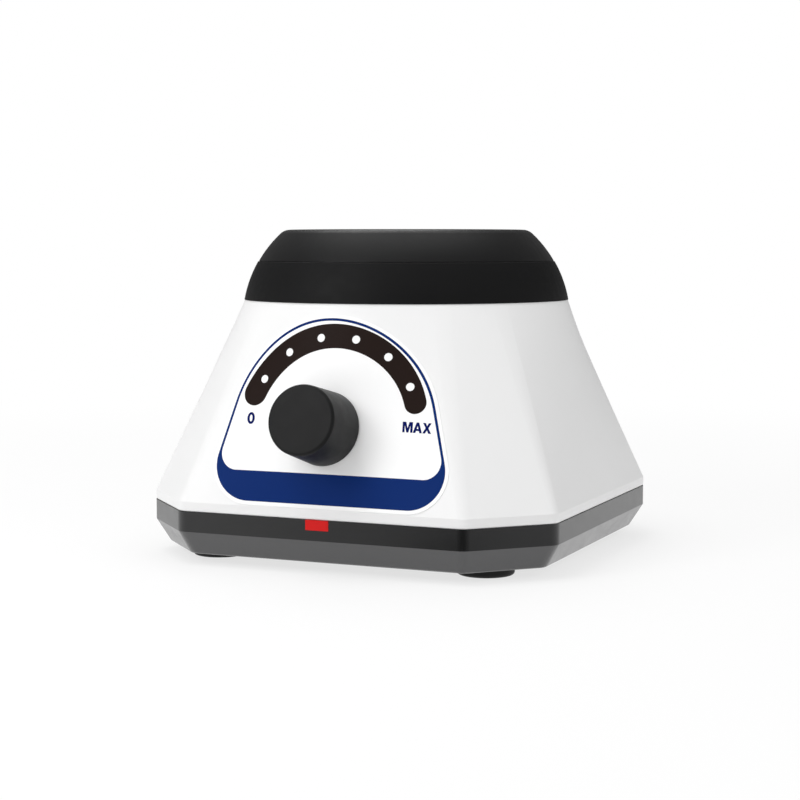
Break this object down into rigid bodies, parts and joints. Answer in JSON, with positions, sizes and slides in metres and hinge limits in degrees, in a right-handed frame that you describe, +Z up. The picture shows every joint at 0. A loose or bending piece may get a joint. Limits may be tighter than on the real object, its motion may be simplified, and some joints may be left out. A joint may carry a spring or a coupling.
{
  "type": "vortex mixer",
  "caption": "Bench vortex mixer: white square-to-round case on a dark tray, black dished rubber head that orbits, front speed dial, red indicator and round feet.",
  "frame": {"origin": "on the motor axis, at the level the feet stand on", "axes": "+Z up along the motor axis; the dial faces -Y; +X is to the right as the dial is read"},
  "size_m": [0.12, 0.1316, 0.0908],
  "materials": {
    "white_shell": "white moulded plastic, satin",
    "dark_tray": "dark grey moulded plastic, semi gloss",
    "black_collar": "black moulded plastic, matt",
    "head_rubber": "black moulded rubber, matt",
    "foot_rubber": "black rubber",
    "knob_plastic": "dark grey moulded plastic, fine matt",
    "label_film": "white printed film",
    "red_lens": "red translucent plastic",
    "light_body": "red light emitter body",
    "zinc_steel": "zinc plated steel",
    "bracket_steel": "plated sheet steel",
    "can_steel": "drawn plated steel",
    "shaft_steel": "turned steel",
    "counterweight_steel": "cut steel",
    "bearing_steel": "ground and polished steel",
    "ballast_paint": "black painted steel plate",
    "pillar_metal": "turned aluminium",
    "magnet": "sintered ferrite",
    "lamination": "stacked steel sheet",
    "copper": "enamelled copper",
    "brass": "plain brass",
    "carbon": "pressed carbon",
    "motor_plastic": "black moulded plastic",
    "carrier_plastic": "grey filled nylon",
    "guide_plastic": "natural white plastic",
    "pot_body": "dark moulded plastic",
    "pot_spindle": "turned aluminium",
    "inlet_plastic": "black moulded plastic",
    "circuit_board": "green circuit board",
    "component_black": "black sleeve and moulding",
    "lead_insulation": "red insulated wire"
  },
  "bodies": {
    "case": {"upper_housing": "white_shell", "base_tray": "dark_tray", "top_collar": "black_collar", "foot_front_left": "foot_rubber", "foot_front_right": "foot_rubber", "foot_rear_left": "foot_rubber", "foot_rear_right": "foot_rubber", "pillar_grommets": "foot_rubber", "dial_label": "label_film", "indicator_lens": "red_lens", "indicator_light": "light_body", "case_screws": "zinc_steel", "collar_screws": "zinc_steel", "lower_pillar_screws": "zinc_steel", "upper_pillar_screws": "zinc_steel", "motor_screws": "zinc_steel", "board_screws": "zinc_steel", "pot_washer": "zinc_steel", "pot_nut": "zinc_steel", "inlet_nut": "zinc_steel", "motor_bracket": "bracket_steel", "motor_can": "can_steel", "ballast_plate": "ballast_paint", "bracket_pillars": "pillar_metal", "motor_magnets": "magnet", "motor_front_bush": "brass", "motor_rear_bush": "brass", "motor_terminals": "brass", "pot_terminals": "brass", "inlet_contacts": "brass", "motor_brushes": "carbon", "motor_end_cap": "motor_plastic", "guide_rings": "guide_plastic", "board_connectors": "guide_plastic", "speed_pot": "pot_body", "dc_inlet": "inlet_plastic", "control_board": "circuit_board", "board_capacitor": "component_black", "board_transistor": "component_black", "motor_leads": "lead_insulation", "inlet_leads": "lead_insulation", "dial_leads": "lead_insulation"},
    "rotor": {"motor_shaft": "shaft_steel", "motor_armature": "lamination", "motor_windings": "copper", "commutator": "copper", "eccentric_hub": "shaft_steel", "hub_set_screw": "shaft_steel", "counterweight": "counterweight_steel", "bearing_inner_ring": "bearing_steel", "bearing_screw": "shaft_steel"},
    "ball_cage": {"bearing_balls": "bearing_steel", "bearing_cage": "carrier_plastic"},
    "head": {"bearing_outer_ring": "bearing_steel", "bearing_retainer": "shaft_steel", "head_carrier": "carrier_plastic", "guide_pins": "shaft_steel", "rubber_head": "head_rubber"},
    "knob": {"speed_knob": "knob_plastic", "pot_shaft": "pot_spindle"}
  },
  "joints": [
    {"name": "drive_spin", "type": "hinge", "parent": "case", "child": "rotor", "pos_m": [0, 0, 0], "axis": [0, 0, 1], "continuous": true},
    {"name": "head_orbit", "type": "hinge", "parent": "rotor", "child": "head", "pos_m": [-0.00078, 0.00184, 0], "axis": [0, 0, 1], "continuous": true},
    {"name": "cage_roll", "type": "hinge", "parent": "rotor", "child": "ball_cage", "pos_m": [-0.00078, 0.00184, 0], "axis": [0, 0, 1], "continuous": true},
    {"name": "knob_turn", "type": "hinge", "parent": "case", "child": "knob", "pos_m": [0, -0.05472, 0.03825], "axis": [0, 0.9697, -0.2442], "range_deg": [0, 172]}
  ],
  "couplings": [
    {"joint": "head_orbit", "follows": "drive_spin", "ratio": -1},
    {"joint": "cage_roll", "follows": "drive_spin", "ratio": -0.61333}
  ]
}
